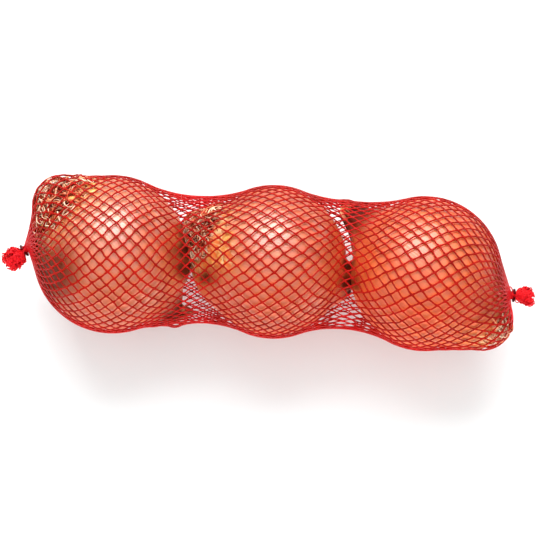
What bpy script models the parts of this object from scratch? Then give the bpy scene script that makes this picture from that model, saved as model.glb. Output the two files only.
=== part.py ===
"""Three onions in a tubular plastic net, gathered by a wire clip and cut off in a tuft at each end.

Metres, +Z up. +X runs along the bag, the bag lies on z = 0 and its box is centred on the Z axis.
The net and what it holds are one closed solid: its corners are the netting's knots, and each
diamond between four knots dips to the onion skin behind it. The two wire clips are separate.
"""

import math

import bmesh
import bpy
import numpy as np

# Netting, in millimetres
STRAND_R = 0.45  # radius of one strand
STRANDS = 36  # strands of each slant round the tube
ROWS = 75  # rows of knots from clip to clip
NECK_R = 2.0  # gathered net inside a clip
CELL_DIP = 0.9  # how far a diamond's middle lies behind its knots
FLAT_CELL = 2.2  # a diamond narrower than this stays flat
FULL_CELL = 5.0  # and one this wide dips all the way
PRESS = 0.8  # how far each onion settles into the netting under it

# Onions: centre on plan, body radius, direction of the root (azimuth, rise), reach of the
# root's and neck's tips from the centre, radius of the tangle of dry roots
ONION_LEFT = ((-78.4, 0.0), 38.8, (138, 13), 49.8, 50, 14.5)
ONION_MIDDLE = ((2.1, 1.0), 37.7, (165, 20), 48.0, 46, 12.0)
ONION_RIGHT = ((77.8, -0.4), 38.0, (-35.5, 3), 51.5, 55, 15.0)
NECK_BALLS = 5  # balls in each tapering neck
NECK_BASE = (28.0, 16.5)  # distance from the onion's centre and radius of the first of them
NECK_TIP_R = 5.5  # radius of the last
NECK_TAPER = 0.7  # below 1, the neck narrows most near the body
SHOULDERS = (0.33, 0.67)  # balls that fill the slope from the body to the roots, as shares of the way
SLOPE_SINK = 0.3  # how far they stay under that slope

# Where the net enters each clip, and the way it runs on through it
LEFT_MOUTH = (-121.5, 0.5, 36.0)
LEFT_WAY = (-0.74, -0.67, -0.05)
RIGHT_MOUTH = (121.4, -8.6, 35.0)
RIGHT_WAY = (1.00, -0.03, -0.04)

# Clip: a round wire bent once round the neck
WIRE_R = 0.6
CLIP_GAP = 0.3
CLIP_AT = 1.9  # from the net's mouth to the middle of the wire

# Tufts: (distance beyond the mouth, sideways shift, radius) of each ring of cut strands
LEFT_TUFT = (
    (3.5, 0.0, 3.1),
    (4.6, 0.0, 4.6),
    (6.4, -0.2, 5.4),
    (8.6, -0.3, 5.4),
    (10.9, -0.2, 5.2),
    (12.9, 0.0, 4.2),
    (14.0, 0.2, 2.4),
)
RIGHT_TUFT = (
    (3.5, 0.0, 2.3),
    (4.8, 0.4, 3.0),
    (6.3, 0.6, 4.0),
    (8.0, 0.4, 4.5),
    (9.8, -0.3, 4.6),
    (11.4, -1.1, 3.9),
    (12.5, -1.7, 2.3),
)
JAG = 0.14  # how uneven the cut ends are

# Creases, where two onions meet: place along the bag, half width, draw of the netting over it
CREASES = ((-37.5, 9.0, (0.0, 0.0, -0.5)), (38.5, 10.0, (0.0, 0.15, -0.5)))
CREASE_RISE = 8.0  # height above the onions' middles over which the draw grows to its full strength

# Pulling the net taut: sweeps over the knots, how far each overshoots its place so that it
# settles sooner, and how strongly rows with long strands draw in
SWEEPS = 400
OVERSHOOT = 1.5
EVENING = 0.3
AXIS_STEPS = 3000  # steps along the bag in the first guess
LOOSE = 1.02  # the first guess stands this much wider than the onions

RED = (0.62, 0.03, 0.035, 1.0)
STEEL = (0.10, 0.09, 0.09, 1.0)


def unit(v):
    v = np.asarray(v, float)
    return v / np.linalg.norm(v)


def onion_spheres(plan, body_r, aim, root_reach, neck_reach, root_r):
    """The balls that hold the net out round one onion: body, dry roots, the slope between them,
    and a tapering neck."""
    centre = np.array([plan[0], plan[1], body_r + 2 * STRAND_R - PRESS])
    az, rise = math.radians(aim[0]), math.radians(aim[1])
    root_way = np.array([math.cos(az) * math.cos(rise), math.sin(az) * math.cos(rise), math.sin(rise)])
    root_at = root_reach - root_r
    balls = [(centre, body_r), (centre + root_way * root_at, root_r)]
    for share in SHOULDERS:
        slope_r = body_r + (root_r - body_r) * share
        balls.append((centre + root_way * root_at * share, slope_r - SLOPE_SINK))
    base, base_r = NECK_BASE
    tip = neck_reach - NECK_TIP_R
    for t in np.linspace(0, 1, NECK_BALLS):
        r = base_r + (NECK_TIP_R - base_r) * t**NECK_TAPER
        balls.append((centre - root_way * (base + (tip - base) * t), r))
    return balls


ONIONS = [onion_spheres(*o) for o in (ONION_LEFT, ONION_MIDDLE, ONION_RIGHT)]
BALLS = [ball for onion in ONIONS for ball in onion]


def ring(centre, travel, radii, row):
    """One ring of knots round a point of the tube; odd rows sit half a cell round from even ones."""
    t = unit(travel)
    across = unit(np.cross((0, 0, 1), t))
    up = np.cross(t, across)
    a = 2 * math.pi * (np.arange(STRANDS) + 0.5 * (row % 2)) / STRANDS
    spokes = np.outer(np.cos(a), across) + np.outer(np.sin(a), up)
    return np.asarray(centre) + np.broadcast_to(radii, a.shape)[:, None] * spokes


def held_clear(knots):
    """Knots moved out of the onions and up to the ground."""
    for centre, body_r in BALLS:
        out = knots - centre
        length = np.linalg.norm(out, axis=-1, keepdims=True)
        hold = body_r + STRAND_R
        knots = np.where(length < hold, centre + out * (hold / length), knots)
    knots[..., 2] = np.maximum(knots[..., 2], STRAND_R)
    return knots


def crease_draw(knots):
    """How far the knots over a crease between two onions are drawn into it in one sweep."""
    above = np.clip((knots[..., 2] - ONION_MIDDLE[1]) / CREASE_RISE, 0, 1)
    drawn = np.zeros_like(knots)
    for x, half, draw in CREASES:
        near = above * np.exp(-(((knots[..., 0] - x) / half) ** 2))
        drawn += near[..., None] * np.asarray(draw)
    return drawn


def stretched_net():
    """Knots of the net pulled taut over the onions: every knot settles between its four neighbours,
    is held outside the onions and above the ground, and the end rings stay in their clips."""
    stations = [np.array(LEFT_MOUTH), *[o[0][0] for o in ONIONS], np.array(RIGHT_MOUTH)]
    xs = np.linspace(LEFT_MOUTH[0], RIGHT_MOUTH[0], AXIS_STEPS)
    line_x = [s[0] for s in stations]
    axis_y = np.interp(xs, line_x, [s[1] for s in stations])
    axis_z = np.interp(xs, line_x, [s[2] for s in stations])
    radius = np.full_like(xs, NECK_R)
    for centre, r in BALLS:
        chord = (r + 1) ** 2 - (xs - centre[0]) ** 2
        off = np.hypot(centre[1] - axis_y, centre[2] - axis_z)
        radius = np.maximum(radius, np.where(chord > 0, off + np.sqrt(np.maximum(chord, 0)), 0))
    run = np.concatenate([[0], np.cumsum(np.hypot(np.diff(xs), np.diff(radius)))])
    at = np.linspace(0, run[-1], ROWS)
    x, y, z, r = (np.interp(at, run, v) for v in (xs, axis_y, axis_z, radius * LOOSE))
    knots = np.stack([ring((x[j], y[j], z[j]), (1, 0, 0), r[j], j) for j in range(ROWS)])
    knots[0] = ring(LEFT_MOUTH, -np.array(LEFT_WAY), NECK_R, 0)
    knots[-1] = ring(RIGHT_MOUTH, RIGHT_WAY, NECK_R, ROWS - 1)
    pull = np.ones(ROWS - 1)
    for _ in range(SWEEPS):
        for parity in (1, 0):
            rows = np.arange(1 + (parity == 0), ROWS - 1, 2)
            turn = 1 if parity == 0 else -1
            after, before = knots[rows + 1], knots[rows - 1]
            k_after, k_before = pull[rows][:, None, None], pull[rows - 1][:, None, None]
            drawn = k_after * (after + np.roll(after, turn, axis=1))
            drawn = drawn + k_before * (before + np.roll(before, turn, axis=1))
            rest = drawn / (2 * (k_after + k_before))
            rest = rest + crease_draw(knots[rows])
            knots[rows] = held_clear(knots[rows] + OVERSHOOT * (rest - knots[rows]))
        side = np.linalg.norm(knots[1:] - knots[:-1], axis=-1).mean(axis=1)
        pull *= (side / side.mean()) ** EVENING
        pull /= pull.mean()
    return knots


def tuft_rings(mouth, way, profile, outwards, seed):
    """Rings of the neck inside the clip and of the jagged tuft beyond it, from the mouth outwards."""
    rng = np.random.default_rng(seed)
    way = unit(way)
    side = unit(np.cross((0, 0, 1), way))
    travel = way if outwards else -way
    first = 1 if outwards else -1
    rings = []
    for n, (along, shift, r) in enumerate(((0.8, 0.0, NECK_R), (3.0, 0.0, NECK_R), *profile)):
        uneven = 1 + JAG * rng.uniform(-1, 1, STRANDS) * (n > 1)
        centre = np.asarray(mouth) + way * along + side * shift
        row = first * (n + 1)
        rings.append(ring(centre, travel, r * uneven, row + (ROWS - 1 if outwards else 0)))
    return rings


def net_mesh():
    """The rings of the whole bag as one closed surface, and the rows that are open netting."""
    knots = stretched_net()
    left = tuft_rings(LEFT_MOUTH, LEFT_WAY, LEFT_TUFT, False, 3)
    right = tuft_rings(RIGHT_MOUTH, RIGHT_WAY, RIGHT_TUFT, True, 5)
    rows = np.array([*left[::-1], *knots, *right])
    first = len(left)
    odd = first % 2  # whether the first ring of all is an odd one
    hoop = np.roll(rows, -1, axis=1) - np.roll(rows, 1, axis=1)
    along = np.empty_like(rows)
    along[1:-1] = rows[2:] - rows[:-2]
    along[0], along[-1] = rows[1] - rows[0], rows[-1] - rows[-2]
    normal = np.cross(hoop, along)
    normal /= np.linalg.norm(normal, axis=-1, keepdims=True)
    open_rows = range(first + 1, first + ROWS - 1)
    skin = rows.copy()
    skin[first + 1 : first + ROWS - 1] += STRAND_R * normal[first + 1 : first + ROWS - 1]
    grounded = rows[..., 2] < STRAND_R + 1e-6
    skin[..., 2] = np.where(grounded, 0.0, np.maximum(skin[..., 2], 0.0))

    mesh = bmesh.new()
    verts = [[mesh.verts.new(p * 0.001) for p in line] for line in skin]
    for j in range(len(skin)):
        for i in range(STRANDS):
            i2 = (i + 1) % STRANDS
            k = i2 if (j + odd) % 2 else i
            a, b = verts[j][i], verts[j][i2]
            near = verts[j - 1][k] if j > 0 else None
            far = verts[j + 1][k] if j + 1 < len(skin) else None
            wide = np.linalg.norm(skin[j, i2] - skin[j, i])
            if j in open_rows and near and far and wide > FLAT_CELL:
                corners = np.array([skin[j, i], skin[j, i2], skin[j - 1, k], skin[j + 1, k]])
                middle = corners.mean(axis=0)
                if corners[:, 2].max() > 0:
                    dip = CELL_DIP * min(1, wide / FULL_CELL)
                    middle = middle - dip * (normal[j, i] + normal[j, i2]) / 2
                middle[2] = max(middle[2], 0)
                c = mesh.verts.new(middle * 0.001)
                for p, q in ((a, near), (near, b), (b, far), (far, a)):
                    mesh.faces.new((p, q, c))
            else:
                if near:
                    mesh.faces.new((a, near, b))
                if far:
                    mesh.faces.new((a, b, far))
    for j, profile, tip in ((0, verts[0], skin[0]), (-1, verts[-1], skin[-1])):
        cap = mesh.verts.new(tip.mean(axis=0) * 0.001)
        for i in range(STRANDS):
            mesh.faces.new((profile[i], profile[(i + 1) % STRANDS], cap))
    bmesh.ops.recalc_face_normals(mesh, faces=mesh.faces)
    return mesh


def material(name, colour, metallic, roughness):
    mat = bpy.data.materials.new(name)
    mat.use_nodes = True
    shader = mat.node_tree.nodes["Principled BSDF"]
    shader.inputs["Base Color"].default_value = colour
    shader.inputs["Metallic"].default_value = metallic
    shader.inputs["Roughness"].default_value = roughness
    return mat


def add(name, mesh, mat, collection):
    data = bpy.data.meshes.new(name)
    mesh.to_mesh(data)
    mesh.free()
    data.materials.append(mat)
    obj = bpy.data.objects.new(name, data)
    collection.objects.link(obj)
    return obj


def wire_clip(name, mouth, way, mat, collection):
    """A round wire bent round the gathered neck, its two ends closed against each other."""
    way = unit(way)
    side = unit(np.cross((0, 0, 1), way))
    up = np.cross(way, side)
    bend_r = NECK_R + CLIP_GAP + WIRE_R
    curve = bpy.data.curves.new(name, "CURVE")
    curve.dimensions = "3D"
    curve.bevel_depth = WIRE_R * 0.001
    curve.bevel_resolution = 2
    curve.use_fill_caps = True
    turn = np.radians(np.linspace(20, 340, 25))
    line = curve.splines.new("POLY")
    line.points.add(len(turn) - 1)
    centre = np.asarray(mouth) + way * CLIP_AT
    for point, a in zip(line.points, turn):
        x, y, z = (centre + bend_r * (math.cos(a) * up + math.sin(a) * side)) * 0.001
        point.co = (x, y, z, 1)
    obj = bpy.data.objects.new(name, curve)
    obj.data.materials.append(mat)
    collection.objects.link(obj)
    weld = obj.modifiers.new("Weld", "WELD")
    weld.merge_threshold = 0.00001
    return obj


def main():
    for obj in list(bpy.data.objects):
        bpy.data.objects.remove(obj, do_unlink=True)
    bag = bpy.data.collections.new("net_of_onions")
    bpy.context.scene.collection.children.link(bag)
    add("net", net_mesh(), material("net", RED, 0.0, 0.35), bag)
    steel = material("clip", STEEL, 1.0, 0.3)
    wire_clip("clip_left", LEFT_MOUTH, LEFT_WAY, steel, bag)
    wire_clip("clip_right", RIGHT_MOUTH, RIGHT_WAY, steel, bag)


main()
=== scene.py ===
"""The looks of a net of three onions: red netting, onions with their dry roots and necks, wire clips.

Lengths are millimetres in part.py's frame until a mesh is made, which turns them into metres.
"""

import math

import bpy
import numpy as np
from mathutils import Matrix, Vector
from numpy.linalg import norm
from numpy.random import default_rng

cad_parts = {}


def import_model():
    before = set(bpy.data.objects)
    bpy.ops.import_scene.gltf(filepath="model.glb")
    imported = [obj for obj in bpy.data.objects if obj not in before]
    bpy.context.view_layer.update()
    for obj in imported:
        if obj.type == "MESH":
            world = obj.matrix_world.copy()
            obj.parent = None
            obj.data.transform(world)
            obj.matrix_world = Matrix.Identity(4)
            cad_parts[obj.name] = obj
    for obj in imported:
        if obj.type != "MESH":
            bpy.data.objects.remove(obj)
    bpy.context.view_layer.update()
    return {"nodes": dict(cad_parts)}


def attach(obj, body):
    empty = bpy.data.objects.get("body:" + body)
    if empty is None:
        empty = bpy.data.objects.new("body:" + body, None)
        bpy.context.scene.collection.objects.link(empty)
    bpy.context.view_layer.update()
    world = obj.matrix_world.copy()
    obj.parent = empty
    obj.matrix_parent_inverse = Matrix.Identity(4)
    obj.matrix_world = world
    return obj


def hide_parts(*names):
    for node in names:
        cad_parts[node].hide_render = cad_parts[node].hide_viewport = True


MM = 0.001
TURN = 2 * math.pi

# The bag, as in part.py: the same named sizes and the same stretched net
STRAND_R = 0.45  # radius of one strand
STRANDS = 36  # strands of each slant round the tube
ROWS = 75  # rows of knots from clip to clip
NECK_R = 2.0  # gathered net inside a clip
PRESS = 0.8  # how far the onions settle into the netting
SKIN_FLOOR = 2 * STRAND_R  # the flat undersides rest on the netting
# Onions: centre on plan, body radius, direction of the root (azimuth, rise), reach of the
# root's and neck's tips from the centre, radius of the tangle of dry roots
ONIONS = {
    "left": ((-78.4, 0), 38.8, (138, 13), 49.8, 50, 14.5),
    "middle": ((2.1, 1), 37.7, (165, 20), 48, 46, 12),
    "right": ((77.8, -0.4), 38, (-35.5, 3), 51.5, 55, 15),
}
NECK_BALLS = 5  # balls in each tapering neck
NECK_BASE = (28.0, 16.5)  # distance and radius of the first
NECK_TIP_R = 5.5  # radius of the last
NECK_TAPER = 0.7  # below 1, the neck narrows most near the body
SHOULDERS = (0.33, 0.67)  # balls on the slope from the body to the roots, as shares of it
SLOPE_SINK = 0.3  # how far they stay under that slope
LEFT_MOUTH = (-121.5, 0.5, 36.0)
LEFT_WAY = (-0.74, -0.67, -0.05)
RIGHT_MOUTH = (121.4, -8.6, 35.0)
RIGHT_WAY = (1.00, -0.03, -0.04)
# Tufts: (distance beyond the mouth, sideways shift, radius)
LEFT_TUFT = (
    (3.5, 0, 3.1), (4.6, 0, 4.6), (6.4, -0.2, 5.4), (8.6, -0.3, 5.4), (10.9, -0.2, 5.2),
    (12.9, 0, 4.2), (14, 0.2, 2.4),
)
RIGHT_TUFT = (
    (3.5, 0, 2.3), (4.8, 0.4, 3), (6.3, 0.6, 4), (8, 0.4, 4.5), (9.8, -0.3, 4.6),
    (11.4, -1.1, 3.9), (12.5, -1.7, 2.3),
)
# Creases, where two onions meet: place along the bag, half width, draw of the netting over it
CREASES = ((-37.5, 9, (0, 0, -0.5)), (38.5, 10, (0, 0.15, -0.5)))
CREASE_RISE = 8.0  # height above the onions' middles over which the draw grows
SWEEPS = 400  # rounds in which the knots settle
OVERSHOOT = 1.5  # how far each knot moves, as a share of the way to its rest
EVENING = 0.3  # how fast longer rows pull harder
AXIS_STEPS = 3000  # points along the tube before it settles
LOOSE = 1.02  # how much wider than the onions it starts

# Netting: finer than part.py's net, and read off its surface
NET_STRANDS = 46
NET_ROWS = 81
# Along the bag (0 to 1): how many of part.py's rows the meshes slant by from one side of the bag
# to the other, and how much closer the strands lie on top
SLANT_AT = (0, 0.35, 0.50, 0.60, 0.65, 0.73, 1)
SLANT = (0, 0, 1.2, 2.2, 1.8, 0.3, 0)
CLOSE_AT = (0, 0.25, 0.42, 0.66, 0.80, 1)
CLOSER = (0, -0.06, 0.12, 0.15, 0.02, 0)
STRAND_THIN = 0.86  # the strands' own radius, as a share of STRAND_R
FREE_THIN = 0.24  # how much thinner they are where they hang free
STRAND_WIDE = 1.08  # a strand's width for its thickness
KNOT_WIDE = 1.55  # and where two strands are fused
KNOT_LONG = 0.16  # and how far that reaches, as a share of a cell's side
STRAND_SPREAD = (0.92, 1.05)  # how strands differ in thickness
BUNCHED = (0.5, 22)  # how much wider at a clip, and points until that fades
FUSED_LEAN = 0.27  # how far a strand turns along the bag where it is fused to another
SIDE_STEPS = 3  # points along each side of a cell
STRAND_SIDES, ROOT_SIDES = 6, 5  # faces round a strand and round a root
CELL_DRIFT = 0.55  # how far knots stray together
CELL_DRIFT_SIZE = 5.0  # over about this distance
CELL_JITTER = 0.18  # and each on its own
STRAND_BOW = 0.16  # and how far a side of a cell bows, at random
CALM_ROWS, CALM_START = 6, 0.3  # near a clip knots don't stray
KNOT_SEED = 41
GATHER_SIZE = 22.0  # how far from a clip the netting gets the bunched, brighter red of painted light
HUNG_FROM, HUNG_OVER = 1.5, 5  # the gap to the onions where netting starts to hang free
HUNG_BRIGHT, FLANK_BRIGHT = 0.45, 0.35  # painted light: how much brighter a red it is there, and on the flank away from the key light
# Tufts
NECK_END = 3.0  # from the mouth to where the strands spread
IN_CLIP = (0.8, 1.9)  # points of a strand inside the clip, from the mouth
TAIL_POINTS, TAIL_FROM = 14, 0.6  # its points beyond the clip, and where they start
WANDER = 0.08  # radians that a strand strays round the tuft at each point
ZIGZAG = (0.2, 2.2, 3.6)  # waves round the tuft: size, and the least and most rate
BULGES = (0.16, 1.6, 3.0)  # waves out of the tuft
TAIL_ENDS = (0.55, 0.92)  # where they are cut, as shares of the tuft's length
TAIL_R = (0.34, 0.27, 0.12)  # at the clip, before the cut end and at it
TAIL_WIDE = (1.15, 1.7)
SPLIT_ENDS = 0.4  # the share of ends that stand out of the tuft
FLARE = np.array([0.02, 0.10, 0.22])  # how far the last points stand out
SPLIT_FLARE, SPLIT_MOST = 2.2, 1.14  # how much further split ends do, and their limit
CELL_SIDES_IN_TUFT = 90
CELL_SIDE_R = (0.20, 0.30)
# Slack loops at the right clip: start and end along the tuft, angle and height
LOOPS = ((-2, 1.2, 0.2, 2.4), (2.6, 5.4, 3.4, 1.5), (2.8, 6, -0.6, 1.3), (2.7, 5, 2.2, 1.4))
LOOP_R = (0.28, 0.34)
TUBE_UP = np.array([0.31, 0.17, 0.93])  # the way out of other tubes

# Onions
JOIN = 1.6  # the larger, the tighter the corners where balls are joined
UNDER_NET = 0.6  # from the balls that hold the netting to the skin
LUMPS, LUMP_SIZE = 0.35, 9.0  # the depth and size of its unevenness
PLEATS = (0.12, 1.1)  # how deep it is pleated, and how much more at the neck
PLEATS_FROM, PLEATS_OVER = 2.3, 0.8  # radians from the root
INNER_SINK = 0.35  # from the outer skin to the golden one
SKIN_THICK, NECK_THICK, FLAKE_THICK = 0.16, 0.2, 0.14
TEAR_LIFT, TEAR_CURL, TEAR_THIN = 0.28, 0.06, 0.16  # the torn edge's curl, and its thin margin
NECK_OPEN = 0.10  # the outer skin's opening at the neck, in radians
NECK_STRIPS, NECK_LONG = 9, 13  # dry strips, and how far they reach back from the tip
FLAKES = 9
FLAKE_FROM, FLAKE_LONG, FLAKE_WIDE = (0.26, 0.5), (0.10, 0.22), (1.2, 2.8)  # radians, and mm
RIBBON_ACROSS = np.linspace(-1, 1, 7)  # points across a strip or a flake
NECK_LEAN = {"left": (6.5, 3.5, 0)}  # how far the tips of the strips lean
# Where the skin swells out of the round: direction, distance and radius of each ball
SWELLS = {
    "left": [((-8, 0), 14, 26.3), ((138, 13), 12, 29.5)],
    "middle": [((187, 0), 16, 26.3), ((162, 20), 12, 28.0)],
    "right": [((-35.5, 3), 21, 24.8), ((-35.5, 3), 33, 15.6), ((-42, 1), 34.3, 14.4)],
}
# Dry roots: direction, distance and radius of the ball they fill, how many radians the tangle
# spreads from there, and how many there are
ROOTS = {
    "left": ((138, 13), 35.3, 14.3, 0.56, 380),
    "middle": ((161, 9), 39.5, 10.6, 0.42, 300),
    "right": ((-34, 5), 42.5, 9.2, 0.26, 190),
}
TANGLE_SINK = 0.5  # from that ball to the outermost roots
PALE_ROOTS = {"left": 1.4, "middle": 1, "right": 1}  # the larger, the fewer are pale
STRAYS = 0.03  # the share that lie out over the skin
ROOT_R = (0.17, 0.40)
ROOT_POINTS, ROOT_STEP = (10, 26), 0.9  # fewest and most points of a root, and their spacing
ROOT_CURL = (0.05, 0.5)
CURL_LASTS, CURL_TURNS = 0.88, 0.14  # how much curl is left at the next point, and added
ROOT_DEPTH = 3.4  # from the outside of the tangle to the rough base under it
ROOT_CLEAR = 0.6  # and how far the roots stay off that base
MOUND_ROUGH = (1.3, 0.6)  # the sizes of the lumps in it
HALF_WIDTH = 38.9  # how far roots may reach to either side of the bag
POKE = (-1.8, 2.2)  # the least and most that a root stands out through the netting
NET_GIVE = 0.9  # how far they lift it where it dips into a crease
NET_NEAR = 5  # how near to a knot, on plan, the netting presses on a root
ROOT_SINK = 0.2  # how far roots may lie in the onions' bodies
# Torn skin: radians from the root to the tear, and how much further and which way it runs
BARE = {"left": (0.62, 0.10, -2.4), "middle": (0.38, 0.30, -1.95), "right": (0.20, 0.08, -2.3)}
# Where skin is darker, on plan: a patch of darker skin at the left onion's far end, and
# painted shade in the creases where two onions meet; middle and radius of each patch, and how
# dark it is at most
DARK_SKIN_AND_CREASE_SHADE = {
    "left": (
        (-107, -12, 13, 0.9), (-42, 4, 6, 1), (-41, 14, 5, 0.8),
        (-42, -5, 4.5, 1), (-41, -28, 8, 0.9),
    ),
    "middle": ((-31, -9.6, 5.5, 1), (-35, 2, 4.5, 1), (38.5, 2, 3.5, 1), (39, -8, 4, 1)),
    "right": ((38.5, 2, 3.5, 1), (39.5, -8, 4.5, 1), (41, 24, 4.5, 0.9)),
}
DARK_NECK = (2.72, 0.25)  # radians from the root where skin darkens, and over how many

# Skins: deep, mid and pale streaks, veins, and how much they shine
SKINS = {
    "left": ((0.6, 0.09, 0.022), (0.79, 0.14, 0.036), (0.88, 0.22, 0.062), (0.5, 0.07, 0.016), 1.0),
    "middle": ((0.62, 0.08, 0.018), (0.82, 0.124, 0.029), (0.9, 0.2, 0.052), (0.52, 0.064, 0.015), 0.9),
    "right": ((0.7, 0.082, 0.016), (0.91, 0.126, 0.026), (0.97, 0.2, 0.046), (0.6, 0.064, 0.014), 0.6),
}
INNER_SKIN = ((0.88, 0.13, 0.016), (0.97, 0.26, 0.046), (1.0, 0.62, 0.28), (0.72, 0.11, 0.014), 0.6)
INNER_CONTRAST = 1.6  # how much sharper its streaks are
DARK_SKIN_AND_SHADE_COLOUR = (0.08, 0.009, 0.005)  # of the darker skin and of the painted crease shade
THIN_SKIN = (0.82, 0.24, 0.05)

# The view: straight down, turned so that the bag falls a little to the right
VIEW_TURN = math.radians(3.4)
VIEW_CENTRE = (0.54, -3.19)
VIEW_WIDTH = 270.0  # what is seen at the height of VIEW_PLANE
VIEW_PLANE = 38.0
VIEW_DISTANCE = 1100.0
SENSOR = 36.0
FLOOR_HALF = 12000.0
DAYLIGHT = 0.65
WHITE = (1.0, 1.0, 1.0)
# Direction, distance, sides, watts, colour, and whether the onions mirror it
LIGHTS = {
    "softbox": ((97, 40), 1000, (880, 700), 14.8, WHITE, True),
    "overhead": ((90, 89), 1300, (1700, 1700), 2.8, WHITE, True),
    "fill": ((-84, 10), 1000, (1800, 330), 15.5, (0.95, 1.0, 1.0), False),
}


# --- helpers

def full_turn(count):
    return TURN * np.arange(count) / count


def unit(v):
    v = np.asarray(v, float)
    return v / norm(v, axis=-1, keepdims=True)


def direction(aim):
    az, rise = math.radians(aim[0]), math.radians(aim[1])
    return np.array([math.cos(az) * math.cos(rise), math.sin(az) * math.cos(rise), math.sin(rise)])


def frame_round(axis):
    """Two unit vectors square to an axis and to each other."""
    a = unit(np.cross(axis, (0.0, 0.0, 1.0)))
    return a, np.cross(axis, a)


def smooth_noise(points, seed, scale):
    """A smooth random field between about -1 and 1: a few seeded waves in random directions."""
    rng = default_rng(seed)
    total = np.zeros(np.asarray(points).shape[:-1])
    for octave, weight in ((1.0, 1.0), (2.1, 0.5), (4.3, 0.25)):
        for _ in range(4):
            wave = unit(rng.normal(size=3)) * octave / scale
            total = total + weight * np.sin(points @ wave + rng.uniform(0, TURN))
    return total / 3.5


def linked(name, data):
    obj = bpy.data.objects.new(name, data)
    bpy.context.scene.collection.objects.link(obj)
    return obj


def mesh_object(name, points, faces, material):
    data = bpy.data.meshes.new(name)
    corners = [tuple(p) for p in np.asarray(points) * MM]
    data.from_pydata(corners, [], [tuple(int(i) for i in f) for f in faces])
    data.validate()
    data.materials.append(material)
    data.shade_smooth()
    return linked(name, data)


def grid_faces(rows, columns, closed):
    """Quads between the rows of a grid whose columns run round, or end to end."""
    faces = []
    for start in range(0, (rows - 1) * columns, columns):
        for i in range(columns if closed else columns - 1):
            after = (i + 1) % columns
            faces.append((start + i, start + after, start + columns + after, start + columns + i))
    return faces


def cap(start, columns):
    """One face over a ring of points."""
    return list(range(start, start + columns))


def ways_round(axis, polar, around):
    """Unit vectors at angles from an axis and angles round it."""
    e1, e2 = frame_round(axis)
    radial = np.cos(around)[..., None] * e1 + np.sin(around)[..., None] * e2
    return np.cos(polar)[..., None] * axis + np.sin(polar)[..., None] * radial


def tubes(name, lines, radii, sides, material, outs=None, flats=None):
    """Tubes along many lines, joined as one mesh, with a radius for each point. With outs, the way
    out at each point, a tube is as much wider across it as flats says."""
    points, faces, start = [], [], 0
    turn = full_turn(sides)
    for k, (line, radius) in enumerate(zip(lines, radii)):
        way = unit(np.gradient(line, axis=0))
        out = outs[k] if outs else TUBE_UP
        side = unit(np.cross(way, out))
        out = np.cross(side, way)
        wide = flats[k] if flats else np.ones(len(line))
        rings = line[:, None] + (radius * wide)[:, None, None] * np.cos(turn)[:, None] * side[:, None]
        rings = rings + radius[:, None, None] * np.sin(turn)[:, None] * out[:, None]
        points.append(rings.reshape(-1, 3))
        faces.extend(start + np.array(f) for f in grid_faces(len(line), sides, True))
        faces.append(cap(start, sides)[::-1])
        start += len(line) * sides
        faces.append(cap(start - sides, sides))
    return mesh_object(name, np.concatenate(points), faces, material)


# --- the bag's form

def onion_balls(plan, body_r, aim, root_reach, neck_reach, root_r):
    """The balls that hold the net out round one onion: body, roots, the slope to them, and neck."""
    centre = np.array([*plan, body_r + 2 * STRAND_R - PRESS])
    way = direction(aim)
    root_at = root_reach - root_r
    balls = [(centre, body_r), (centre + way * root_at, root_r)]
    for share in SHOULDERS:
        slope_r = body_r + (root_r - body_r) * share
        balls.append((centre + way * root_at * share, slope_r - SLOPE_SINK))
    base, base_r = NECK_BASE
    tip = neck_reach - NECK_TIP_R
    for t in np.linspace(0, 1, NECK_BALLS):
        r = base_r + (NECK_TIP_R - base_r) * t**NECK_TAPER
        balls.append((centre - way * (base + (tip - base) * t), r))
    return balls


class Onion:
    """One onion: the balls its skin is drawn over, its axis from neck to root, and its roots."""

    def __init__(self, name):
        self.name = name
        balls = onion_balls(*ONIONS[name])
        self.centre, self.body_r = balls[0]
        swells = [(self.centre + direction(aim) * far, r) for aim, far, r in SWELLS[name]]
        self.skin_balls = [balls[0], *balls[2 + len(SHOULDERS) :], *swells]
        self.root_way = direction(ONIONS[name][2])
        self.neck_reach = ONIONS[name][4]
        aim, far, tangle_r, self.spread, self.roots = ROOTS[name]
        self.tangle_way = direction(aim)
        slope_r = self.body_r + (tangle_r - self.body_r) * SHOULDERS[1]
        self.tangle_balls = [
            balls[0],
            (self.centre + self.tangle_way * far, tangle_r),
            (self.centre + self.tangle_way * far * SHOULDERS[1], slope_r),
        ]

    def tangle_reach(self, ways):
        """How far from the onion's centre the tangle of roots comes, up against the netting."""
        return joined_reach(self.centre, self.tangle_balls, ways) - TANGLE_SINK


BALLS = [ball for sizes in ONIONS.values() for ball in onion_balls(*sizes)]
BODIES = [onion_balls(*sizes)[0] for sizes in ONIONS.values()]


def ring(centre, travel, radii, row):
    """One ring of knots round a point of the tube; odd rows sit half a cell round from even ones."""
    t = unit(travel)
    across = unit(np.cross((0, 0, 1), t))
    up = np.cross(t, across)
    a = TURN * (np.arange(STRANDS) + 0.5 * (row % 2)) / STRANDS
    return np.asarray(centre) + radii * (np.cos(a)[:, None] * across + np.sin(a)[:, None] * up)


def held_off(points, centre, least):
    """Points moved to at least a distance from a centre."""
    out = points - centre
    length = norm(out, axis=-1, keepdims=True)
    return np.where(length < least, centre + out * (least / length), points)


def held_out(points, clearance):
    """Points moved out of the onions and off the ground."""
    for centre, r in BALLS:
        points = held_off(points, centre, r + clearance)
    points = points.copy()
    points[..., 2] = np.maximum(points[..., 2], clearance)
    return points


def crease_draw(knots):
    """How far the knots over a crease between two onions are drawn into it in one sweep."""
    above = np.clip((knots[..., 2] - BODIES[1][1]) / CREASE_RISE, 0, 1)
    drawn = np.zeros_like(knots)
    for x, half, draw in CREASES:
        near = above * np.exp(-(((knots[..., 0] - x) / half) ** 2))
        drawn += near[..., None] * np.asarray(draw)
    return drawn


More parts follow.
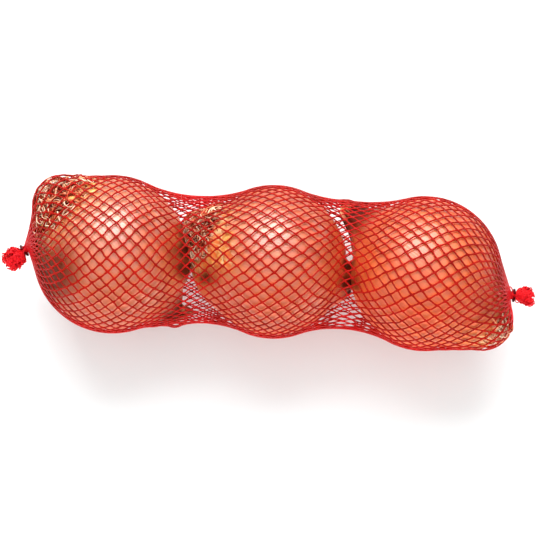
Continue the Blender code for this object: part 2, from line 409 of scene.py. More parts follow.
def stretched_net():
    """Knots of the net pulled taut over the onions: every knot settles between its four neighbours,
    is held outside the onions and above the ground, and the end rings stay in their clips."""
    stations = [np.array(LEFT_MOUTH), *[centre for centre, _ in BODIES], np.array(RIGHT_MOUTH)]
    xs = np.linspace(LEFT_MOUTH[0], RIGHT_MOUTH[0], AXIS_STEPS)
    line_x = [s[0] for s in stations]
    axis_y = np.interp(xs, line_x, [s[1] for s in stations])
    axis_z = np.interp(xs, line_x, [s[2] for s in stations])
    radius = np.full_like(xs, NECK_R)
    for centre, r in BALLS:
        chord = (r + 1) ** 2 - (xs - centre[0]) ** 2
        off = np.hypot(centre[1] - axis_y, centre[2] - axis_z)
        radius = np.maximum(radius, np.where(chord > 0, off + np.sqrt(np.maximum(chord, 0)), 0))
    run = np.concatenate([[0], np.cumsum(np.hypot(np.diff(xs), np.diff(radius)))])
    at = np.linspace(0, run[-1], ROWS)
    x, y, z, r = (np.interp(at, run, v) for v in (xs, axis_y, axis_z, radius * LOOSE))
    knots = np.stack([ring((x[j], y[j], z[j]), (1, 0, 0), r[j], j) for j in range(ROWS)])
    knots[0] = ring(LEFT_MOUTH, -np.array(LEFT_WAY), NECK_R, 0)
    knots[-1] = ring(RIGHT_MOUTH, RIGHT_WAY, NECK_R, ROWS - 1)
    pull = np.ones(ROWS - 1)
    for _ in range(SWEEPS):
        for parity in (1, 0):
            rows = np.arange(1 + (parity == 0), ROWS - 1, 2)
            turn = 1 if parity == 0 else -1
            after, before = knots[rows + 1], knots[rows - 1]
            k_after, k_before = pull[rows][:, None, None], pull[rows - 1][:, None, None]
            drawn = k_after * (after + np.roll(after, turn, axis=1))
            drawn = drawn + k_before * (before + np.roll(before, turn, axis=1))
            rest = drawn / (2 * (k_after + k_before)) + crease_draw(knots[rows])
            knots[rows] = held_out(knots[rows] + OVERSHOOT * (rest - knots[rows]), STRAND_R)
        side = norm(knots[1:] - knots[:-1], axis=-1).mean(axis=1)
        pull *= (side / side.mean()) ** EVENING
        pull /= pull.mean()
    return knots


def curve_through(a, b, c, d, t):
    """A smooth curve's point between b and c, its neighbours being a and d."""
    return b + 0.5 * t * (c - a + t * (2 * a - 5 * b + 4 * c - d + t * (3 * (b - c) + d - a)))


def finer_net(knots):
    """The netting's own knots: more strands and rows on the same surface, slanted a little and
    drawn closer on top where handling has shifted it."""
    rows = np.arange(NET_ROWS)[:, None]
    share = rows / (NET_ROWS - 1)
    turn = TURN * (np.arange(NET_STRANDS) + 0.5 * (rows % 2)) / NET_STRANDS
    turn = turn + np.interp(share, CLOSE_AT, CLOSER) * np.cos(turn)
    row = share * (ROWS - 1) + np.interp(share, SLANT_AT, SLANT) * np.cos(turn)
    row = np.clip(row, 0, ROWS - 1)
    below = np.minimum(row.astype(int), ROWS - 2)

    def on_row(j):
        j = np.clip(j, 0, ROWS - 1)
        column = turn * STRANDS / TURN - 0.5 * (j % 2)
        first = np.floor(column).astype(int)
        near = [knots[j, (first + k) % STRANDS] for k in (-1, 0, 1, 2)]
        return curve_through(*near, (column - first)[..., None])

    near = [on_row(below + k) for k in (-1, 0, 1, 2)]
    return curve_through(*near, (row - below)[..., None])


# --- materials

class Look:
    """A material made of nodes: a Principled shader with textures plugged into it."""

    def __init__(self, name):
        self.material = bpy.data.materials.new(name)
        self.material.use_nodes = True
        self.tree = self.material.node_tree
        self.shader = self.tree.nodes["Principled BSDF"]

    def node(self, kind, values=(), **settings):
        made = self.tree.nodes.new(kind)
        for key, value in settings.items():
            setattr(made, key, value)
        for key, value in dict(values).items():
            self.plug(value, made.inputs[key])
        return made

    def plug(self, value, socket):
        if isinstance(value, bpy.types.NodeSocket):
            self.tree.links.new(value, socket)
        else:
            socket.default_value = value

    def set(self, **values):
        for key, value in values.items():
            self.plug(value, self.shader.inputs[key.replace("_", " ")])

    def place(self):
        return self.node("ShaderNodeTexCoord").outputs["Object"]

    def stretch(self, vector, scale):
        return self.node("ShaderNodeMapping", {"Vector": vector, "Scale": scale}).outputs["Vector"]

    def value(self, name, output="Fac"):
        """What a point attribute of the piece holds."""
        return self.node("ShaderNodeAttribute", attribute_name=name).outputs[output]

    def noise(self, vector, scale, detail, roughness=0.55):
        values = {"Vector": vector, "Scale": scale, "Detail": detail, "Roughness": roughness}
        return self.node("ShaderNodeTexNoise", values).outputs["Fac"]

    def ramp(self, factor, stops):
        made = self.node("ShaderNodeValToRGB", {"Fac": factor})
        while len(made.color_ramp.elements) < len(stops):
            made.color_ramp.elements.new(1.0)
        for element, (position, colour) in zip(made.color_ramp.elements, stops):
            element.position = position
            element.color = (*colour, 1.0)
        return made.outputs["Color"]

    def greys(self, factor, *stops):
        return self.ramp(factor, [(position, (grey,) * 3) for position, grey in stops])

    def mix(self, factor, a, b):
        values = {0: factor}
        for index, value in ((6, a), (7, b)):
            values[index] = value if isinstance(value, bpy.types.NodeSocket) else (*value, 1.0)
        return self.node("ShaderNodeMix", values, data_type="RGBA").outputs[2]

    def bump(self, height, distance):
        values = {"Height": height, "Distance": distance * MM, "Strength": 1.0}
        self.set(Normal=self.node("ShaderNodeBump", values).outputs["Normal"])


def netting_look():
    """Red plastic strands. The attribute "tone" brings in a brighter red as painted light: fully where
    they are bunched, less where they hang free or on the flank away from the key light.
    """
    look = Look("netting")
    tone = look.value("tone")
    place = look.place()
    reds = [(0.3, (0.26, 0.004, 0.002)), (0.7, (0.43, 0.009, 0.004))]
    stretched = look.ramp(look.noise(place, 90, 2), reds)
    # painted light: tone brightens the red in bunches, on free netting and on the far flank
    look.set(
        Base_Color=look.mix(tone, stretched, (0.68, 0.010, 0.016)),
        Roughness=look.greys(look.noise(place, 400, 2), (0.3, 0.34), (0.7, 0.52)),
        IOR=1.45,
        Specular_IOR_Level=0.10,
    )
    look.set(Subsurface_Weight=0.25, Subsurface_Scale=0.5 * MM, Subsurface_Radius=(1.0, 0.10, 0.07))
    look.bump(look.noise(place, 1500, 2), 0.05)
    return look.material


def skin_look(name, deep, mid, pale, vein, sheen, contrast=1.0):
    """Papery skin. The attribute "grain" runs round the onion in x and y and from root to neck in z,
    "tone" says how much darker the skin is, as darker skin or as painted shade in the creases
    between onions, and "thin" how much of the light it lets through."""
    look = Look(name)
    grain, tone, thin = look.value("grain", "Vector"), look.value("tone"), look.value("thin")
    streak = look.noise(look.stretch(grain, (7, 7, 0.5)), 1.0, 5, 0.62)
    fine = look.noise(look.stretch(grain, (26, 26, 0.8)), 1.0, 3, 0.6)
    patch = look.noise(look.place(), 42, 4, 0.6)
    streaks = [(0.5 - 0.2 / contrast, deep), (0.5, mid), (0.5 + 0.22 / contrast, pale)]
    colour = look.ramp(streak, streaks)
    colour = look.mix(look.greys(fine, (0.52, 0), (0.66, 0.35)), colour, vein)
    colour = look.mix(look.greys(patch, (0.42, 0), (0.68, 0.4)), colour, pale)
    # painted shade: tone brings in the dark colour in the creases between onions, besides darker skin
    colour = look.mix(look.greys(tone, (0.0, 0), (1.0, 0.92)), colour, DARK_SKIN_AND_SHADE_COLOUR)
    colour = look.mix(look.greys(thin, (0.0, 0), (1.0, 0.8)), colour, THIN_SKIN)
    look.set(Base_Color=colour, Roughness=look.greys(patch, (0.3, 0.34), (0.7, 0.50)))
    look.set(IOR=1.8, Specular_IOR_Level=look.greys(tone, (0.0, sheen), (0.8, 0.1)))
    look.set(Subsurface_Weight=0.2, Subsurface_Scale=1.5 * MM, Subsurface_Radius=(1.0, 0.3, 0.12))
    ridges = look.greys(streak, (0.2, 0), (0.8, 1))
    look.bump(look.mix(0.5, look.greys(fine, (0.3, 0), (0.7, 1)), ridges), 0.18)
    return look.material


def root_look():
    """Dry roots: each has a tone of its own, from brown to cream, and is darker in places."""
    look = Look("dry_roots")
    tone = look.value("tone")
    place = look.place()
    blotch = look.noise(place, 260, 3)
    tones = [(0.0, (0.20, 0.010, 0.004)), (0.22, (0.55, 0.07, 0.025))]
    tones += [(0.45, (0.95, 0.38, 0.18)), (0.7, (1.0, 0.76, 0.54))]
    blotched = look.greys(blotch, (0.36, 0.6), (0.5, 0))
    look.set(
        Base_Color=look.mix(blotched, look.ramp(tone, tones), (0.36, 0.05, 0.02)),
        Roughness=look.greys(blotch, (0.3, 0.6), (0.7, 0.8)),
        Specular_IOR_Level=0.12,
    )
    look.bump(look.noise(place, 1800, 2), 0.08)
    return look.material


def noise_look(name, grain, tones, rough, bumps, **more):
    """Colour and roughness that follow one noise, and bumps that follow another."""
    look = Look(name)
    place = look.place()
    tone = look.noise(place, *grain)
    look.set(Base_Color=look.ramp(tone, tones), Roughness=look.greys(tone, *rough), **more)
    scale, detail, depth = bumps
    look.bump(look.noise(place, scale, detail), depth)
    return look.material


def mound_look():
    """The roots' rough base: dark brown in patches and nearly black in others, the near-black partly
    painted shade from deep in the tangle.
    """
    tones = [(0.34, (0.020, 0.001, 0.001)), (0.54, (0.22, 0.010, 0.004)), (0.74, (0.50, 0.08, 0.03))]
    rough = ((0.3, 0.7), (0.7, 0.9))
    return noise_look("root_mound", (260, 5, 0.7), tones, rough, (900, 4, 0.5), Specular_IOR_Level=0.08)


def neck_look(name, deep, mid, pale):
    """Withered papery skin, brown with paler frayed streaks."""
    tones = [(0.32, deep), (0.5, mid), (0.70, pale)]
    rough = ((0.3, 0.45), (0.7, 0.7))
    thin = {"Specular_IOR_Level": 0.25, "Subsurface_Weight": 0.1, "Subsurface_Scale": 0.8 * MM}
    return noise_look(name, (330, 4, 0.65), tones, rough, (900, 3, 0.15), **thin)


def wire_look():
    # painted shade: near-black wire tinted red, for the shade in the gathered neck round the clip
    tones = [(0.3, (0.045, 0.006, 0.007)), (0.7, (0.13, 0.016, 0.019))]
    rough = ((0.3, 0.25), (0.7, 0.45))
    return noise_look("clip_wire", (900, 3), tones, rough, (900, 3, 0.03), Metallic=1.0)


def floor_look():
    look = Look("pale_floor")
    look.set(Base_Color=(0.90, 0.94, 0.94, 1), Roughness=0.9, Specular_IOR_Level=0.0)
    return look.material


# --- netting

def from_ends(count):
    """How many steps each of a row of points is from the nearer end."""
    return np.minimum(np.arange(count), np.arange(count)[::-1])


def outward(knots):
    """The way out of the bag at every knot."""
    hoop = np.roll(knots, -1, axis=1) - np.roll(knots, 1, axis=1)
    return unit(np.cross(hoop, np.gradient(knots, axis=0)))


def handled(knots):
    """The net with cells of uneven size, every knot still on what it lies on."""
    uneven = knots.copy()
    out = outward(knots)
    rng = default_rng(KNOT_SEED)
    drift = [smooth_noise(knots, KNOT_SEED + k, CELL_DRIFT_SIZE) for k in range(3)]
    shift = np.stack(drift, -1) * CELL_DRIFT
    shift += rng.normal(0, CELL_JITTER, knots.shape)
    shift -= (shift * out).sum(axis=-1, keepdims=True) * out
    fade = np.clip(from_ends(NET_ROWS) / CALM_ROWS - CALM_START, 0, 1)
    uneven += shift * fade[:, None, None]
    uneven[1:-1] = held_out(uneven[1:-1], STRAND_R)
    return uneven


def strand_lines(knots, slant):
    """The strands of one slant, through one knot of every row, and the way out at each of their
    points. A strand leans along the bag where it is fused to the one it crosses."""
    columns = np.empty((NET_STRANDS, NET_ROWS), int)
    columns[:, 0] = np.arange(NET_STRANDS)
    for j in range(NET_ROWS - 1):
        step = j % 2 if slant > 0 else j % 2 - 1
        columns[:, j + 1] = (columns[:, j] + step) % NET_STRANDS
    rows = np.arange(NET_ROWS)
    line = knots[rows, columns]
    out = outward(knots)[rows, columns]
    along = unit(np.gradient(knots, axis=0))[rows, columns]
    way = np.gradient(line, axis=1)
    length = norm(way, axis=-1, keepdims=True)
    tangent = unit((1 - FUSED_LEAN) * way / length + FUSED_LEAN * along) * length
    points, outs = [], []
    for t in np.arange(SIDE_STEPS) / SIDE_STEPS:
        a, b = 2 * t**3 - 3 * t**2 + 1, t**3 - 2 * t**2 + t
        c, d = 3 * t**2 - 2 * t**3, t**3 - t**2
        points.append(a * line[:, :-1] + b * tangent[:, :-1] + c * line[:, 1:] + d * tangent[:, 1:])
        outs.append((1 - t) * out[:, :-1] + t * out[:, 1:])
    points, outs = np.stack(points, 2), np.stack(outs, 2)
    rng = default_rng(KNOT_SEED + slant)
    bow = rng.normal(0, STRAND_BOW, (NET_STRANDS, NET_ROWS - 1, 1, 1))
    sideways = unit(np.cross(outs, (line[:, 1:] - line[:, :-1])[:, :, None]))
    points = points + bow * np.sin(math.pi * np.arange(SIDE_STEPS) / SIDE_STEPS)[:, None] * sideways
    points, outs = points.reshape(NET_STRANDS, -1, 3), outs.reshape(NET_STRANDS, -1, 3)
    points[:, 1:] = held_out(points[:, 1:], STRAND_R)
    return np.concatenate([points, line[:, -1:]], 1), np.concatenate([outs, out[:, -1:]], 1)


def ripple(reach, size, least, most, rng):
    """Waves along a strand, at a random rate between two, in radians a millimetre."""
    return size * np.sin(reach * rng.uniform(least, most) + rng.uniform(0, TURN))


class Tuft:
    """The gathered neck and the cut tuft beyond it, as distances from the net's mouth."""

    def __init__(self, mouth, way, profile):
        self.mouth, self.way, self.profile = np.asarray(mouth), unit(way), np.array(profile)
        self.across = unit(np.cross((0, 0, 1), self.way))
        self.up = np.cross(self.way, self.across)
        self.end = self.profile[-1][0]

    def place(self, reach, share, turn):
        """Points at a share of the tuft's radius and an angle round it, and the way out at each."""
        along = np.concatenate([[0.0, NECK_END], self.profile[:, 0]])
        shift = np.interp(reach, along, np.concatenate([[0.0, 0.0], self.profile[:, 1]]))
        radius = np.interp(reach, along, np.concatenate([[NECK_R, NECK_R], self.profile[:, 2]]))
        middle = self.mouth + np.multiply.outer(reach, self.way) + np.multiply.outer(shift, self.across)
        out = np.multiply.outer(np.cos(turn), self.across) + np.multiply.outer(np.sin(turn), self.up)
        return middle + (radius * share)[:, None] * out, out

    def strand(self, angle, rng):
        """One strand from the mouth through the clip to its cut end."""
        ends_at = self.end * rng.uniform(*TAIL_ENDS)
        split = rng.uniform(0, 1) < SPLIT_ENDS
        tail = np.linspace(NECK_END + TAIL_FROM, ends_at, TAIL_POINTS)
        reach = np.concatenate([[*IN_CLIP, NECK_END], tail])
        loose = np.clip((reach - NECK_END) / 2, 0, 1)
        wander = np.cumsum(rng.normal(0, WANDER, len(reach))) * loose
        zigzag = ripple(reach, *ZIGZAG, rng) * loose
        spread = math.sqrt(rng.uniform(0.02, 1))
        share = spread * (1 + ripple(reach, *BULGES, rng) * loose)
        share[-len(FLARE) :] += FLARE * (SPLIT_FLARE if split else 1)
        share = np.minimum(share, SPLIT_MOST if split else 1.0)
        return self.place(reach, share, angle + wander + zigzag)

    def cell_side(self, rng):
        """A crumpled side of a cell, lying across the tuft between two strands."""
        start = rng.uniform(NECK_END + 0.4, self.end - 1.2)
        reach = start + np.linspace(0, rng.uniform(0.6, 2.0), 5)
        bow = 0.16 * np.sin(np.linspace(0, math.pi, 5)) * rng.uniform(-1, 1)
        turn = rng.uniform(0, TURN) + np.linspace(0, rng.uniform(-0.7, 0.7), 5)
        return self.place(reach, np.clip(rng.uniform(0.66, 1.0) + bow, 0, 1.03), turn)


LEFT_END = Tuft(LEFT_MOUTH, LEFT_WAY, LEFT_TUFT)
RIGHT_END = Tuft(RIGHT_MOUTH, RIGHT_WAY, RIGHT_TUFT)


def strand_shape(line, rng, tail_points):
    """A whole strand's radius at each point, and its width for its thickness."""
    thick = STRAND_R * STRAND_THIN * rng.uniform(*STRAND_SPREAD)
    body = thick * (1 - FREE_THIN * hung(line))
    side = np.arange(len(line)) % SIDE_STEPS / SIDE_STEPS
    knot = np.exp(-((np.minimum(side, 1 - side) / KNOT_LONG) ** 2))
    bunched = BUNCHED[0] * np.clip(1 - from_ends(len(line)) / BUNCHED[1], 0, 1)
    flat = STRAND_WIDE + (KNOT_WIDE - STRAND_WIDE) * knot + bunched
    tail = np.linspace(*TAIL_R[:2], tail_points)
    tail[-1] = TAIL_R[2]
    wide = np.linspace(*TAIL_WIDE, tail_points)
    return np.concatenate([tail[::-1], body, tail]), np.concatenate([wide[::-1], flat, wide])


def netting(knots, material):
    """Both families of strands, fused where they cross and run on through the clips into the tufts."""
    made = []
    for name, slant, seed in (("netting_right_hand", 1, 11), ("netting_left_hand", -1, 12)):
        rng = default_rng(seed)
        parts = []
        for line, out in zip(*strand_lines(knots, slant)):
            left, left_out = LEFT_END.strand(rng.uniform(0, TURN), rng)
            right, right_out = RIGHT_END.strand(rng.uniform(0, TURN), rng)
            whole = np.concatenate([left[::-1], line, right])
            whole_out = np.concatenate([left_out[::-1], out, right_out])
            parts.append((whole, whole_out, *strand_shape(line, rng, len(left))))
        for end in (LEFT_END, RIGHT_END):
            for _ in range(CELL_SIDES_IN_TUFT):
                line, out = end.cell_side(rng)
                radius = np.full(len(line), rng.uniform(*CELL_SIDE_R))
                parts.append((line, out, radius, np.full(len(line), TAIL_WIDE[1])))
        lines, outs, radii, flats = zip(*parts)
        piece = tubes(name, lines, radii, STRAND_SIDES, material, outs, flats)
        # painted light, as a tone for each point
        tones = [np.repeat(painted_net_light(line, out), STRAND_SIDES) for line, out in zip(lines, outs)]
        add_value(piece, "tone", np.concatenate(tones))
        made.append(piece)
    return made


def painted_net_light(points, outs):
    """How bright a red, as painted light: most in bunches, less where the netting hangs free, and a
    little on the flank that is turned away from the key light, at -Y."""
    flank = np.clip((0.55 - outs[:, 2]) / 0.5, 0, 1) * np.clip(0.4 - 2 * outs[:, 1], 0, 1)
    bright = np.maximum(gathered(points), HUNG_BRIGHT * hung(points))
    return np.maximum(bright, FLANK_BRIGHT * flank)


def hung(points):
    """1 where the netting hangs free between the onions, 0 where it lies on one."""
    gap = np.min([norm(points - centre, axis=1) - r for centre, r in BALLS], axis=0)
    return np.clip((gap - HUNG_FROM) / HUNG_OVER, 0, 1)


def gathered(points):
    """1 where the netting is bunched up in a neck or tuft, 0 where it is stretched."""
    left = norm(points - LEFT_END.mouth, axis=1)
    right = norm(points - RIGHT_END.mouth, axis=1)
    beyond = (points[:, 0] < LEFT_MOUTH[0]) | (points[:, 0] > RIGHT_MOUTH[0])
    return np.where(beyond, 1.0, np.clip(1 - np.minimum(left, right) / GATHER_SIZE, 0, 1))


def loose_loops(material):
    """Slack strands that stand out in small loops beside the right clip."""
    rng = default_rng(31)
    lines, radii = [], []
    for reach0, reach1, turn0, out_by in LOOPS:
        t = np.linspace(0, 1, 14)
        bulge = np.sin(math.pi * t) ** 0.8
        reach = reach0 + (reach1 - reach0) * t
        points, out = RIGHT_END.place(reach, np.full(len(t), 0.9), turn0 + 0.5 * (t - 0.5))
        lines.append(points + out * (out_by * bulge)[:, None])
        radii.append(np.full(len(t), rng.uniform(*LOOP_R)))
    piece = tubes("netting_loose_loops", lines, radii, STRAND_SIDES, material)
    # painted light: the loops get the bunched, brighter red in full
    add_value(piece, "tone", np.ones(len(piece.data.vertices)))
    return piece


# --- onions

def joined_reach(centre, balls, ways):
    """How far balls, joined smoothly, reach from a centre inside them in each direction."""
    reaches = []
    for ball, r in balls:
        q = ball - centre
        along = ways @ q
        miss = (q @ q) - along**2
        reaches.append(np.where(r * r > miss, along + np.sqrt(np.maximum(r * r - miss, 0)), 0.0))
    reaches = np.array(reaches)
    top = reaches.max(axis=0)
    return top + np.log(np.exp(JOIN * (reaches - top)).sum(axis=0)) / JOIN


def onion_points(onion, polar, around, lift, seed):
    """Skin points: the body and neck joined smoothly, a little uneven, pleated towards the neck."""
    ways = ways_round(onion.root_way, polar, around)
    reach = joined_reach(onion.centre, onion.skin_balls, ways)
    lumps = smooth_noise(ways * 10, seed, LUMP_SIZE)
    flutes = 0.5 * np.sin(around * 7 + seed) + 0.35 * np.sin(around * 11 + 2 * seed)
    to_neck = np.clip((polar - PLEATS_FROM) / PLEATS_OVER, 0, 1) ** 2
    pleats = (PLEATS[0] + PLEATS[1] * to_neck) * (flutes + 1)
    reach = reach - UNDER_NET - LUMPS * (lumps + 1) - pleats + lift
    points = onion.centre + reach[..., None] * ways
    points[..., 2] = np.maximum(points[..., 2], SKIN_FLOOR)
    return points


def add_grain(obj, polar, around):
    """Where each point lies in the skin's grain, for the veins."""
    values = np.stack([np.cos(around), np.sin(around), polar], -1)
    add_value(obj, "grain", values, "FLOAT_VECTOR", "vector")


def add_value(obj, name, values, kind="FLOAT", key="value"):
    """Stores a number, or a vector, for each of a piece's points."""
    made = obj.data.attributes.new(name, kind, "POINT")
    made.data.foreach_set(key, np.asarray(values, np.float32).ravel())


def onion_body(onion, material, seed):
    """The golden under-skin, all the way round."""
    rows, columns, pole = 90, 128, 0.004
    from_root = np.linspace(pole, math.pi - pole, rows)
    polar, around = np.meshgrid(from_root, full_turn(columns), indexing="ij")
    points = onion_points(onion, polar, around, -INNER_SINK, seed).reshape(-1, 3)
    faces = grid_faces(rows, columns, True)
    faces.append(cap(0, columns)[::-1])
    faces.append(cap((rows - 1) * columns, columns))
    obj = mesh_object(f"onion_{onion.name}_under_skin", points, faces, material)
    add_grain(obj, polar, around)
    # painted crease shade and darker skin, as tone
    add_value(obj, "tone", darker_skin_and_crease_shade(onion, points, seed))
    return obj


def onion_skin(onion, material, seed):
    """The brown outer skin: torn away round the root along its grain, and open at the neck."""
    rows, columns, strip = 84, 288, 6
    rng = default_rng(seed)
    around = full_turn(columns)
    least, more, lobe = BARE[onion.name]
    off_lobe = np.angle(np.exp(1j * (around - lobe)))
    edge = least + more * np.exp(-((off_lobe / 0.7) ** 2))
    edge += 0.05 * np.sin(around * 2 + seed) + 0.04 * np.sin(around * 5 + 2 * seed)
    strips = np.repeat(rng.uniform(-0.08, 0.08, columns // strip), strip)
    edge += strips + rng.uniform(-0.02, 0.02, columns)
    strips = np.repeat(rng.uniform(-0.03, 0.03, columns // strip), strip)
    end = math.pi - NECK_OPEN + strips
    t = np.linspace(0, 1, rows)[:, None] ** 1.15
    polar = edge + (end - edge) * t
    around = np.broadcast_to(around, polar.shape)
    lift = TEAR_LIFT * np.exp(-(((polar - edge) / TEAR_CURL) ** 2))
    points = onion_points(onion, polar, around, lift, seed)
    faces = grid_faces(rows, columns, True)
    obj = mesh_object(f"onion_{onion.name}_skin", points.reshape(-1, 3), faces, material)
    add_grain(obj, polar, around)
    dark = np.clip((polar - DARK_NECK[0]) / DARK_NECK[1], 0, 1)
    # painted crease shade and darker skin, on top of the darker neck
    dark = np.maximum(dark, darker_skin_and_crease_shade(onion, points, seed))
    add_value(obj, "tone", dark)
    add_value(obj, "thin", np.exp(-(((polar - edge) / TEAR_THIN) ** 2)) * (1 - dark))
    thicken(obj, SKIN_THICK, -1)
    return obj


def thicken(obj, thickness, offset):
    shell = obj.modifiers.new("Solidify", "SOLIDIFY")
    shell.thickness = thickness * MM
    shell.offset = offset


def darker_skin_and_crease_shade(onion, points, seed):
    """How dark the skin is at each point, from 0 to 1: patches of darker skin and of painted crease
    shade, with ragged, soft edges.
    """
    ragged = 1.5 * smooth_noise(points, seed + 70, 4.0)
    dark = np.zeros(points.shape[:-1])
    for x, y, r, most in DARK_SKIN_AND_CREASE_SHADE[onion.name]:
        off = np.hypot(points[..., 0] - x, points[..., 1] - y) + ragged
        dark = np.maximum(dark, most * np.clip(1.5 - off / r, 0, 1))
    return dark


def root_mound(onion, material, seed):
    """The rough dark base that the roots grow from, a little inside their tangle; its near-black
    colour is partly painted shade.
    """
    rows, columns = 50, 120
    edge = onion.spread * 1.1
    polar, around = np.meshgrid(np.linspace(0.01, edge, rows), full_turn(columns), indexing="ij")
    ways = ways_round(onion.tangle_way, polar, around)
    most = onion.tangle_reach(ways)
    at = onion.centre + most[..., None] * ways
    rough = 0.9 * smooth_noise(at, seed, MOUND_ROUGH[0])
    rough = rough + 0.5 * smooth_noise(at, seed + 50, MOUND_ROUGH[1])
    sunk = ROOT_DEPTH + 2.5 * np.clip((polar / edge - 0.8) / 0.2, 0, 1)
    reach = most - sunk + 0.7 * rough
    points = (onion.centre + reach[..., None] * ways).reshape(-1, 3)
    faces = grid_faces(rows, columns, True)
    faces.append(cap(0, columns)[::-1])
    return mesh_object(f"onion_{onion.name}_root_mound", points, faces, material)


def under_net(points, knots, clearance):
    """Points brought down to where the netting lies over them."""
    over = knots[knots[..., 2] > BODIES[0][1]]
    apart = norm(points[:, None, :2] - over[None, :, :2], axis=-1)
    nearest = np.argsort(apart, axis=1)[:, :3]
    most = over[nearest, 2].mean(axis=1) + clearance
    points = points.copy()
    points[:, 2] = np.minimum(points[:, 2], np.where(apart.min(axis=1) < NET_NEAR, most, np.inf))
    return points


def dry_roots(onion, knots, material, seed):
    """Curly dry roots: each wanders between the rough base and the net that presses on it."""
    rng = default_rng(seed)
    count, (fewest, steps) = onion.roots, ROOT_POINTS
    polar = onion.spread * np.sqrt(rng.uniform(0, 1, count))
    ways = ways_round(onion.tangle_way, polar, rng.uniform(0, TURN, count))
    thick = rng.uniform(*ROOT_R, count)
    stray = rng.uniform(0, 1, count) < STRAYS
    at = onion.centre + ways * onion.tangle_reach(ways)[:, None]
    heading = unit(rng.normal(0, 1, (count, 3)) + 0.5 * ways)
    curl = unit(rng.normal(size=(count, 3))) * rng.uniform(*ROOT_CURL, (count, 1))
    poke = rng.uniform(*POKE, count)
    path = []
    calmer = np.where(stray, 0.5, 1)[:, None]
    for _ in range(steps):
        curl = CURL_LASTS * curl + rng.normal(0, CURL_TURNS, (count, 3)) * calmer
        heading = unit(heading + np.cross(curl, heading))
        at = at + heading * ROOT_STEP
        away = norm(at - onion.centre, axis=1)
        ways = (at - onion.centre) / away[:, None]
        most = onion.tangle_reach(ways)
        turned = np.arccos(np.clip(ways @ onion.tangle_way, -1, 1))
        back = (turned > onion.spread) & ~stray
        heading[back] = unit(heading[back] + 0.5 * unit(onion.tangle_way - ways[back]))
        away = np.clip(away, most - ROOT_DEPTH + ROOT_CLEAR, most - thick + poke)
        at = onion.centre + ways * away[:, None]
        for body, body_r in BODIES:
            at = held_off(at, body, body_r - ROOT_SINK)
        path.append(at)
    path = np.stack(path, 1)
    path[:, 1:-1] = (path[:, :-2] + 2 * path[:, 1:-1] + path[:, 2:]) / 4
    path[..., 1] = np.clip(path[..., 1], -HALF_WIDTH, HALF_WIDTH)
    lines, radii, tones = [], [], []
    for line, r, out_by in zip(path, thick, poke):
        line = under_net(line[: rng.integers(fewest, steps)], knots, out_by + NET_GIVE)
        lines.append(line)
        radii.append(r * np.linspace(1.1, 0.5, len(line)))
        tones.append(np.full(len(line) * ROOT_SIDES, rng.uniform(0, 1) ** PALE_ROOTS[onion.name]))
    obj = tubes(f"onion_{onion.name}_roots", lines, radii, ROOT_SIDES, material)
    add_value(obj, "tone", np.concatenate(tones))
    return obj


def ribbon_mesh(name, ribbons, thickness, material):
    """Papery ribbons as one mesh. Each has a middle line, a side vector and a half width at each
    point, a cup, and how ragged its edges are."""
    points, faces, start = [], [], 0
    for line, side, width, cup, ragged in ribbons:
        way = unit(np.gradient(line, axis=0))
        out = unit(np.cross(side, way))
        edge = RIBBON_ACROSS * (width[:, None] * (1 + ragged))
        grid = line[:, None] + edge[..., None] * side[:, None]
        grid = grid + (cup * RIBBON_ACROSS**2)[:, None] * out[:, None]
        points.extend(grid.reshape(-1, 3))
        faces.extend(start + np.array(f) for f in grid_faces(*grid.shape[:2], False))
        start = len(points)
    obj = mesh_object(name, points, faces, material)
    thicken(obj, thickness, 0)
    return obj


def withered_neck(onion, material, seed):
    """The neck's dry leaf ends: narrow papery strips, twisted round each other and frayed."""
    rng = default_rng(seed)
    axis = -onion.root_way
    e1, e2 = frame_round(axis)
    ribbons = []
    t = np.linspace(0, 1, 12)
    for k in range(NECK_STRIPS):
        angle = TURN * k / NECK_STRIPS + rng.uniform(-0.3, 0.3) + rng.uniform(0.4, 1.1) * t
        radius = np.interp(t, [0, 0.45, 1], [5.6, 4.2, rng.uniform(1.0, 4.4)])
        along = onion.neck_reach - NECK_LONG + (NECK_LONG + rng.uniform(-4.5, -0.3)) * t
        out = np.cos(angle)[:, None] * e1 + np.sin(angle)[:, None] * e2
        line = onion.centre + along[:, None] * axis + radius[:, None] * out
        line = line + (t**2)[:, None] * np.array(NECK_LEAN.get(onion.name, (0, 0, 0)))
        twist = rng.uniform(-1.2, 1.2) * t
        side = unit(np.cross(axis, out)) * np.cos(twist)[:, None] + out * np.sin(twist)[:, None]
        width = np.interp(t, [0, 0.5, 0.85, 1], [3.2, 2.2, 1.3, 0.35]) * rng.uniform(0.7, 1.1)
        ragged = rng.uniform(-0.3, 0.15, (len(t), len(RIBBON_ACROSS))) * t[:, None]
        ribbons.append((line, side, width, rng.uniform(-0.9, 0.5), ragged))
    return ribbon_mesh(f"onion_{onion.name}_neck", ribbons, NECK_THICK, material)


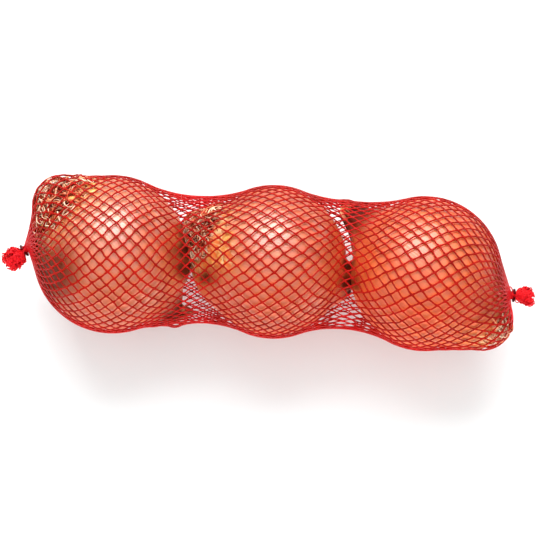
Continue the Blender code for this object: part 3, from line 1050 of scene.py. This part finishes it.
def skin_flakes(onion, material, seed):
    """Torn scraps of papery skin that lie loose round the roots."""
    rng = default_rng(seed)
    ribbons = []
    t = np.linspace(0, 1, 9)
    for _ in range(FLAKES):
        a, start = rng.uniform(0, TURN), rng.uniform(*FLAKE_FROM)
        polar = start + rng.uniform(*FLAKE_LONG) * t
        around = a + rng.uniform(-0.5, 0.5) * t
        ways = ways_round(onion.root_way, polar, around)
        room = onion.tangle_reach(ways)
        low = joined_reach(onion.centre, [onion.skin_balls[0]], ways)
        reach = low + (room - low) * rng.uniform(0.1, 0.9) + 0.1
        line = onion.centre + reach[:, None] * ways
        side = unit(np.cross(ways, np.gradient(line, axis=0)))
        width = rng.uniform(*FLAKE_WIDE) * np.sin(np.linspace(0.25, math.pi - 0.2, len(t))) ** 0.6
        ragged = rng.uniform(-0.3, 0.3, (len(t), len(RIBBON_ACROSS)))
        ribbons.append((line, side, width, rng.uniform(-0.6, 0.6), ragged))
    return ribbon_mesh(f"onion_{onion.name}_flakes", ribbons, FLAKE_THICK, material)


# --- stage

def floor(material):
    corners = [(x * FLOOR_HALF, y * FLOOR_HALF, 0) for x, y in ((-1, -1), (1, -1), (1, 1), (-1, 1))]
    piece = mesh_object("floor", corners, [(0, 1, 2, 3)], material)


def camera():
    data = bpy.data.cameras.new("camera")
    data.sensor_width = SENSOR
    data.lens = SENSOR * VIEW_DISTANCE / VIEW_WIDTH
    data.clip_start = 0.05
    obj = linked("camera", data)
    obj.location = Vector((*VIEW_CENTRE, VIEW_PLANE + VIEW_DISTANCE)) * MM
    obj.rotation_euler = (0, 0, VIEW_TURN)
    bpy.context.scene.camera = obj


def soft_light(name, aim, distance, size, power, colour, mirrored):
    data = bpy.data.lights.new(name, "AREA")
    data.shape = "RECTANGLE"
    data.size, data.size_y = size[0] * MM, size[1] * MM
    data.energy = power
    data.color = colour
    obj = linked(name, data)
    obj.visible_glossy = mirrored
    way = direction(aim)
    obj.location = Vector(way * distance * MM)
    obj.rotation_euler = Vector(way).to_track_quat("Z", "Y").to_euler()


def studio():
    world = bpy.data.worlds.new("studio")
    world.use_nodes = True
    background = world.node_tree.nodes["Background"]
    background.inputs["Color"].default_value = (*WHITE, 1)
    background.inputs["Strength"].default_value = DAYLIGHT
    bpy.context.scene.world = world
    for name, settings in LIGHTS.items():
        soft_light(name, *settings)
    bpy.context.scene.view_settings.view_transform = "Standard"


# --- the object

def stands_for_net(piece):
    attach(piece, "root")
    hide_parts("net")


def main():
    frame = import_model()
    camera()
    studio()
    floor(floor_look())

    knots = handled(finer_net(stretched_net()))
    red = netting_look()
    for piece in (*netting(knots, red), loose_loops(red)):
        stands_for_net(piece)

    skins = {name: skin_look("skin_" + name, *colours) for name, colours in SKINS.items()}
    inner = skin_look("inner_skin", *INNER_SKIN, INNER_CONTRAST)
    roots, mound = root_look(), mound_look()
    neck = neck_look("withered_neck", (0.12, 0.016, 0.008), (0.36, 0.075, 0.03), (0.66, 0.32, 0.14))
    flake = neck_look("skin_flakes", (0.74, 0.20, 0.04), (0.94, 0.42, 0.11), (1.0, 0.74, 0.40))
    for seed, name in enumerate(ONIONS, start=1):
        onion = Onion(name)
        stands_for_net(onion_body(onion, inner, seed))
        stands_for_net(onion_skin(onion, skins[name], seed))
        stands_for_net(root_mound(onion, mound, seed + 10))
        stands_for_net(dry_roots(onion, knots, roots, seed + 20))
        stands_for_net(withered_neck(onion, neck, seed + 30))
        stands_for_net(skin_flakes(onion, flake, seed + 40))

    wire = wire_look()
    for node in ("clip_left", "clip_right"):
        clip = frame["nodes"][node]
        clip.data.materials.clear()
        clip.data.materials.append(wire)


main()
